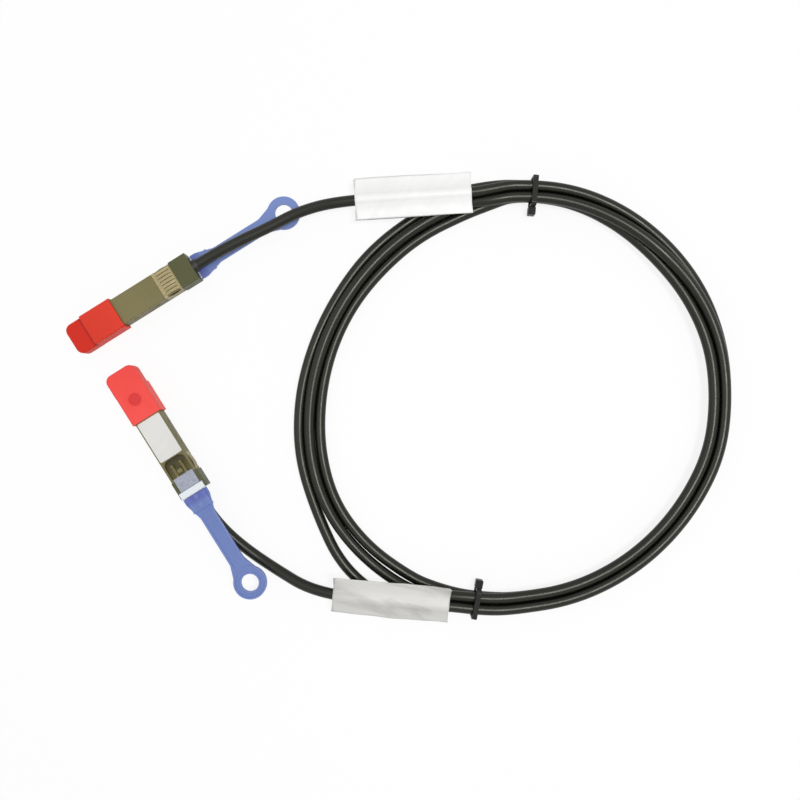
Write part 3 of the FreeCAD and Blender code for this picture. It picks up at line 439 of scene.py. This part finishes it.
BOOT = moulded("boot_rubber", (34, 35, 31), (22, 23, 20), (0.5, 0.62), 1500, 0.00005)
STICKER = film("sticker_film", (226, 225, 221), 12)
LABEL_LIT = film("label_film_a", (249, 249, 248), 8)
LABEL_SHADED = film("label_film_b", (218, 217, 213), 46, 0.9)
JACKET = jacket()

FINISHES = {
    "base_shell": LATCH_SIDE, "cover_shell": SHELL, "emi_collar": COLLAR, "paddle_card": CARD,
    "edge_contacts": CONTACT, "memory_chip": CHIP, "coupling_capacitors": CAPACITOR,
    "twinax_pairs": PAIR, "wire_ends": WIRE, "crimp_ferrule": FERRULE, "strain_relief": BOOT,
    "release_slider": SLIDER, "return_springs": SPRING, "pull_tab": TAB, "tab_rivets": TAB,
    "dust_cap": CAP, "shell_label": STICKER, "wrap_label": LABEL_LIT,
    "cable_tie_top": tie_nylon("tie_nylon_top", TIE_TOP_ANGLE),
    "cable_tie_bottom": tie_nylon("tie_nylon_bottom", TIE_BOTTOM_ANGLE), "cable": JACKET,
}
# Each node takes the finish whose name it starts with; the longest such name wins.
for node_name, node in NODES.items():
    stem = max((s for s in FINISHES if node_name.startswith(s)), key=len)
    material = FINISHES[stem]
    if isinstance(material, dict):
        material = material[node_name[-1]]
    node.data.materials.clear()
    node.data.materials.append(material)


# ---- cord ---------------------------------------------------------------------------------
# The leads' points, each from its plug to the coil, from the coil's middle.
LEAD_A = (
    (-105.0, 135.5, 5.8), (-89.0, 135.5, 5.8), (-73.0, 134.4, 5.9), (-57.0, 132.3, 5.9),
    (-40.5, 131.0, 6.5), (-22.6, 124.7, 9.0), (9.1, 107.8, 9.0), (34.7, 93.9, 9.0),
)
LEAD_B = (
    (-154.3, 50.0, 4.9), (-154.3, 36.0, 4.9), (-153.2, 22.5, 4.6), (-149.6, 9.0, 3.7),
    (-143.4, -6.0, 3.1), (-130.5, -28.5, 9.0), (-102.0, -50.1, 9.0), (-78.8, -68.1, 9.0),
)
# The coil: at each angle in its own axes, every turn's radius and height.
# From 97.5 down to -97.5 degrees there are four turns, and on the other side three.
FOUR_TURNS = {
    97.5: ((99.3, 9.2), (102.3, 2.7), (93.4, 2.7), (94.4, 8.0)),
    90: ((101.1, 8.2), (102.5, 2.7), (97.2, 2.7), (95.9, 8.0)),
    75: ((102.6, 8.0), (103.2, 2.7), (97.9, 3.2), (97.1, 8.5)),
    60: ((102.7, 7.9), (101.7, 2.7), (96.2, 4.8), (97.1, 10.1)),
    45: ((102.7, 6.7), (99.2, 2.7), (94.4, 6.3), (97.6, 10.6)),
    30: ((103.2, 4.6), (98.3, 2.7), (94.6, 7.6), (99.5, 9.6)),
    15: ((102.9, 3.0), (97.5, 2.7), (95.1, 8.0), (100.5, 8.4)),
    0: ((101.9, 2.7), (96.6, 2.7), (94.5, 8.0), (99.8, 8.0)),
    -15: ((102.3, 2.7), (96.9, 2.7), (94.9, 8.0), (100.3, 8.0)),
    -30: ((101.0, 2.7), (95.6, 2.7), (93.6, 8.0), (99.0, 8.0)),
    -45: ((100.4, 2.7), (95.1, 2.7), (93.2, 8.0), (98.5, 8.0)),
    -60: ((100.4, 2.7), (95.1, 2.7), (93.4, 8.0), (98.7, 8.0)),
    -75: ((100.9, 2.7), (95.6, 2.7), (94.1, 8.0), (99.4, 8.0)),
    -90: ((101.4, 2.7), (96.0, 2.7), (94.7, 8.0), (100.1, 8.0)),
    -97.5: ((101.9, 2.7), (96.6, 2.7), (96.1, 8.0), (101.5, 8.4)),
}
THREE_TURNS = {
    -105: ((103.2, 2.7), (97.8, 2.7), (97.5, 7.95)),
    -112.5: ((109.4, 2.7), (98.6, 2.7), (101.1, 7.2)),
    -120: ((115.5, 2.7), (99.6, 2.7), (105.4, 4.2)),
    -135: ((116.5, 2.7), (100.6, 2.7), (106.0, 2.7)),
    -150: ((110.0, 2.7), (100.4, 2.7), (105.2, 5.0)),
    -165: ((107.3, 2.7), (97.0, 2.7), (102.2, 4.1)),
    -180: ((103.5, 2.7), (93.5, 2.7), (98.5, 4.6)),
    -195: ((100.2, 2.7), (91.3, 2.7), (95.8, 5.6)),
    -210: ((98.5, 2.7), (89.9, 2.7), (94.2, 5.8)),
    -225: ((98.9, 2.7), (89.0, 2.7), (94.0, 4.7)),
    -240: ((99.2, 2.7), (90.0, 2.7), (94.6, 5.4)),
    -255: ((102.4, 2.7), (91.4, 2.7), (96.2, 5.1)),
}
TURN_GAIN = 1.0087      # a point's radius over its turn's, since the spline cuts inside it


def coil_points():
    """Every turn's points in order, from the end of lead A to the start of lead B."""
    points = []
    for turn in range(4):
        table = dict(FOUR_TURNS)
        if turn < 3:
            table.update(THREE_TURNS)
        for angle in sorted(table, reverse=True):
            radius, height = table[angle][turn]
            way = radians(angle + COIL_TURN)
            radius *= TURN_GAIN
            points.append((radius * cos(way), radius * sin(way), height))
    return points


def make_cord():
    """The whole cord as one bevelled spline: lead A, the coil, then lead B."""
    route = [from_layout(*p) for p in list(LEAD_A) + coil_points() + list(reversed(LEAD_B))]
    data = bpy.data.curves.new("cable", "CURVE")
    data.dimensions = "3D"
    data.resolution_u = 10
    data.bevel_depth = CORD_DIAMETER / 2 * MM
    data.bevel_resolution = 6
    data.use_fill_caps = True
    spline = data.splines.new("NURBS")
    spline.points.add(len(route) - 1)
    for point, place in zip(spline.points, route):
        point.co = (*place, 1.0)
    spline.order_u = 3
    spline.use_endpoint_u = True
    cord = bpy.data.objects.new("cable", data)
    bpy.context.scene.collection.objects.link(cord)
    data.materials.append(JACKET)
    return cord


cord = make_cord()
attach(cord, ROOT_BODY)
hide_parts("cable_coil", "cable_lead_a", "cable_lead_b")


# ---- labels round the cord ----------------------------------------------------------------
LABEL_LENGTH, LABEL_WIDTH = 55.5, 19.0
LABEL_RADIUS = 3.05     # of the film round the cord
LABEL_HALF = LABEL_WIDTH / 2
LABEL_KNEE = LABEL_RADIUS * 0.80        # from the middle to where the leaf leaves the cord
LEAF_GAP = 0.16         # half of what is left between the leaves at their edges
FILM_THICKNESS = 0.22
STEPS_ALONG, STEPS_ACROSS = 56, 40


def leaf_height(across):
    """Height of a label's leaf above its middle plane: round over the cord, flat beyond."""
    y = abs(across)
    if y < LABEL_KNEE:
        return sqrt(LABEL_RADIUS ** 2 - y ** 2)
    start = sqrt(LABEL_RADIUS ** 2 - LABEL_KNEE ** 2)
    t = (y - LABEL_KNEE) / (LABEL_HALF - LABEL_KNEE)
    return start * (1 - t) ** 2.2 * (1 - 0.25 * t) + LEAF_GAP


def leaf_point(u, v, side, at_edge, sway):
    """A leaf's point: u runs along the label from 0 to 1, v across it from -1 to 1."""
    edge = abs(v) ** 3
    wave = sway * edge * (sin(u * 5.3 + 1.1 * v) + 0.5 * sin(u * 11.0 + 2.0 + v))
    cockle = 0.10 * edge * sin(u * 23.0 + 4 * v)
    spread = 0.35 * side * sin(u * 3.0 + 0.6)
    z = side * (LEAF_GAP if at_edge else leaf_height(v * LABEL_HALF))
    return ((u - 0.5) * LABEL_LENGTH + 0.5 * side * edge,
            v * LABEL_HALF + spread * edge, z + wave + cockle)


def make_label(name, node, middle, heading, tilt, sway, material):
    """A film label: two leaves closed over the cord and pressed together at both sides."""
    mesh = bmesh.new()
    rings = []
    for i in range(STEPS_ALONG + 1):
        ring = []
        for side in (1, -1):
            for j in range(STEPS_ACROSS + 1):
                v = (j / STEPS_ACROSS * 2 - 1) * side
                ring.append(leaf_point(i / STEPS_ALONG, v, side, j in (0, STEPS_ACROSS), sway))
        rings.append([mesh.verts.new(p) for p in ring])
    count = len(rings[0])
    for a, b in zip(rings, rings[1:]):
        for j in range(count):
            k = (j + 1) % count
            mesh.faces.new((a[j], a[k], b[k], b[j]))
    data = bpy.data.meshes.new(name)
    mesh.to_mesh(data)
    mesh.free()
    for face in data.polygons:
        face.use_smooth = True
    data.materials.append(material)
    label = bpy.data.objects.new(name, data)
    bpy.context.scene.collection.objects.link(label)
    turn = Matrix.Rotation(radians(heading), 4, "Z") @ Matrix.Rotation(radians(tilt), 4, "X")
    data.transform(Matrix.Scale(MM, 4))
    data.transform(Matrix.Translation(from_layout(*middle)) @ turn)
    thick = label.modifiers.new("film", "SOLIDIFY")
    thick.thickness = FILM_THICKNESS * MM
    thick.offset = -1
    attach(label, ROOT_BODY)
    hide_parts(node)
    return label


label_a = make_label("label_film_near_plug_a", "wrap_label_a", middle=(9.1, 107.8, 9.0),
                     heading=-28.4, tilt=0.0, sway=0.25, material=LABEL_LIT)
label_b = make_label("label_film_near_plug_b", "wrap_label_b", middle=(-102.0, -50.1, 9.0),
                     heading=-37.4, tilt=22.0, sway=0.45, material=LABEL_SHADED)


def folding_springs(side):
    """The strip springs again: a copy of their mesh, attached to the cable's body in place of the
    imported node.
    """
    name = "return_springs_" + side
    springs = bpy.data.objects.new("folding_springs_" + side, NODES[name].data.copy())
    bpy.context.scene.collection.objects.link(springs)
    springs.matrix_world = NODES[name].matrix_world
    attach(springs, ROOT_BODY)
    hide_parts(name)
    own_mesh(springs)


folding_springs("a")
folding_springs("b")


# ---- stage --------------------------------------------------------------------------------
WHITE = (1.0, 1.0, 1.0, 1.0)
FLOOR_SIZE, FLOOR_PLACE = 6.0, (0.06, -0.03, -0.0002)     # metres, like the next two
GLOW_NEAR, GLOW_FAR = 0.35, 1.2         # where the floor's glow starts to rise, and is full
GLOW_LEAST = 0.86
SKY_LIGHT = 0.42        # strength of the surroundings as light; they are seen at 1.0


def make_stage():
    """White paper that glows where it is looked at, and takes soft shadows near the part."""
    bpy.ops.mesh.primitive_plane_add(size=FLOOR_SIZE, location=FLOOR_PLACE)
    floor = bpy.context.object
    floor.name = "floor"
    n = Nodes("floor_paper")
    grey = n.ramp(n.noise(3.0), 0.3, 0.7)
    n.finish(n.mix(grey, linear((250, 250, 250)), linear((254, 254, 254))), 0.9)
    glow = n.add("ShaderNodeEmission", Color=WHITE, Strength=1.0)
    rays = n.add("ShaderNodeLightPath").outputs
    share = n.maths("MAXIMUM", rays["Is Camera Ray"], rays["Is Glossy Ray"])
    share = n.maths("MAXIMUM", share, rays["Is Transmission Ray"])
    away = n.add("ShaderNodeVectorMath", operation="LENGTH")
    n.link(n.coordinates, away.inputs[0])
    glowing = n.ramp(away.outputs["Value"], GLOW_NEAR, GLOW_FAR, GLOW_LEAST, 1.0)
    share = n.maths("MULTIPLY", share, glowing)
    blend = n.add("ShaderNodeMixShader")
    n.link(share, blend.inputs["Fac"])
    n.link(n.shader.outputs["BSDF"], blend.inputs[1])
    n.link(glow.outputs["Emission"], blend.inputs[2])
    n.link(blend.outputs["Shader"], n.out.inputs["Surface"])
    floor.data.materials.append(n.material)


def make_lamp(name, place, target, size, power):
    """A soft area lamp turned to a target; places and size in metres."""
    data = bpy.data.lights.new(name, "AREA")
    data.shape = "RECTANGLE"
    data.size, data.size_y = size
    data.energy = power
    lamp = bpy.data.objects.new(name, data)
    bpy.context.scene.collection.objects.link(lamp)
    lamp.location = place
    lamp.rotation_euler = (Vector(target) - Vector(place)).to_track_quat("-Z", "Y").to_euler()


def make_world():
    """White surroundings: full white where they are seen, dimmer where they only light."""
    world = bpy.data.worlds.new("studio")
    bpy.context.scene.world = world
    world.use_nodes = True
    tree = world.node_tree
    tree.nodes.clear()
    out = tree.nodes.new("ShaderNodeOutputWorld")
    rays = tree.nodes.new("ShaderNodeLightPath")
    blend = tree.nodes.new("ShaderNodeMixShader")
    for strength, socket in ((SKY_LIGHT, blend.inputs[1]), (1.0, blend.inputs[2])):
        background = tree.nodes.new("ShaderNodeBackground")
        background.inputs["Color"].default_value = WHITE
        background.inputs["Strength"].default_value = strength
        tree.links.new(background.outputs["Background"], socket)
    share = rays.outputs["Is Camera Ray"]
    for kind in ("Is Glossy Ray", "Is Transmission Ray"):
        either = tree.nodes.new("ShaderNodeMath")
        either.operation = "MAXIMUM"
        tree.links.new(share, either.inputs[0])
        tree.links.new(rays.outputs[kind], either.inputs[1])
        share = either.outputs["Value"]
    tree.links.new(share, blend.inputs["Fac"])
    tree.links.new(blend.outputs["Shader"], out.inputs["Surface"])


make_stage()
make_world()
make_lamp("key", place=(0.30, -0.18, 1.15), target=(0.06, -0.05, 0.0), size=(0.28, 0.28),
          power=7.2)
make_lamp("broad", place=(-0.55, 0.55, 0.90), target=(0.05, -0.03, 0.0), size=(1.2, 1.2),
          power=2.4)
bpy.context.scene.view_settings.view_transform = "Standard"
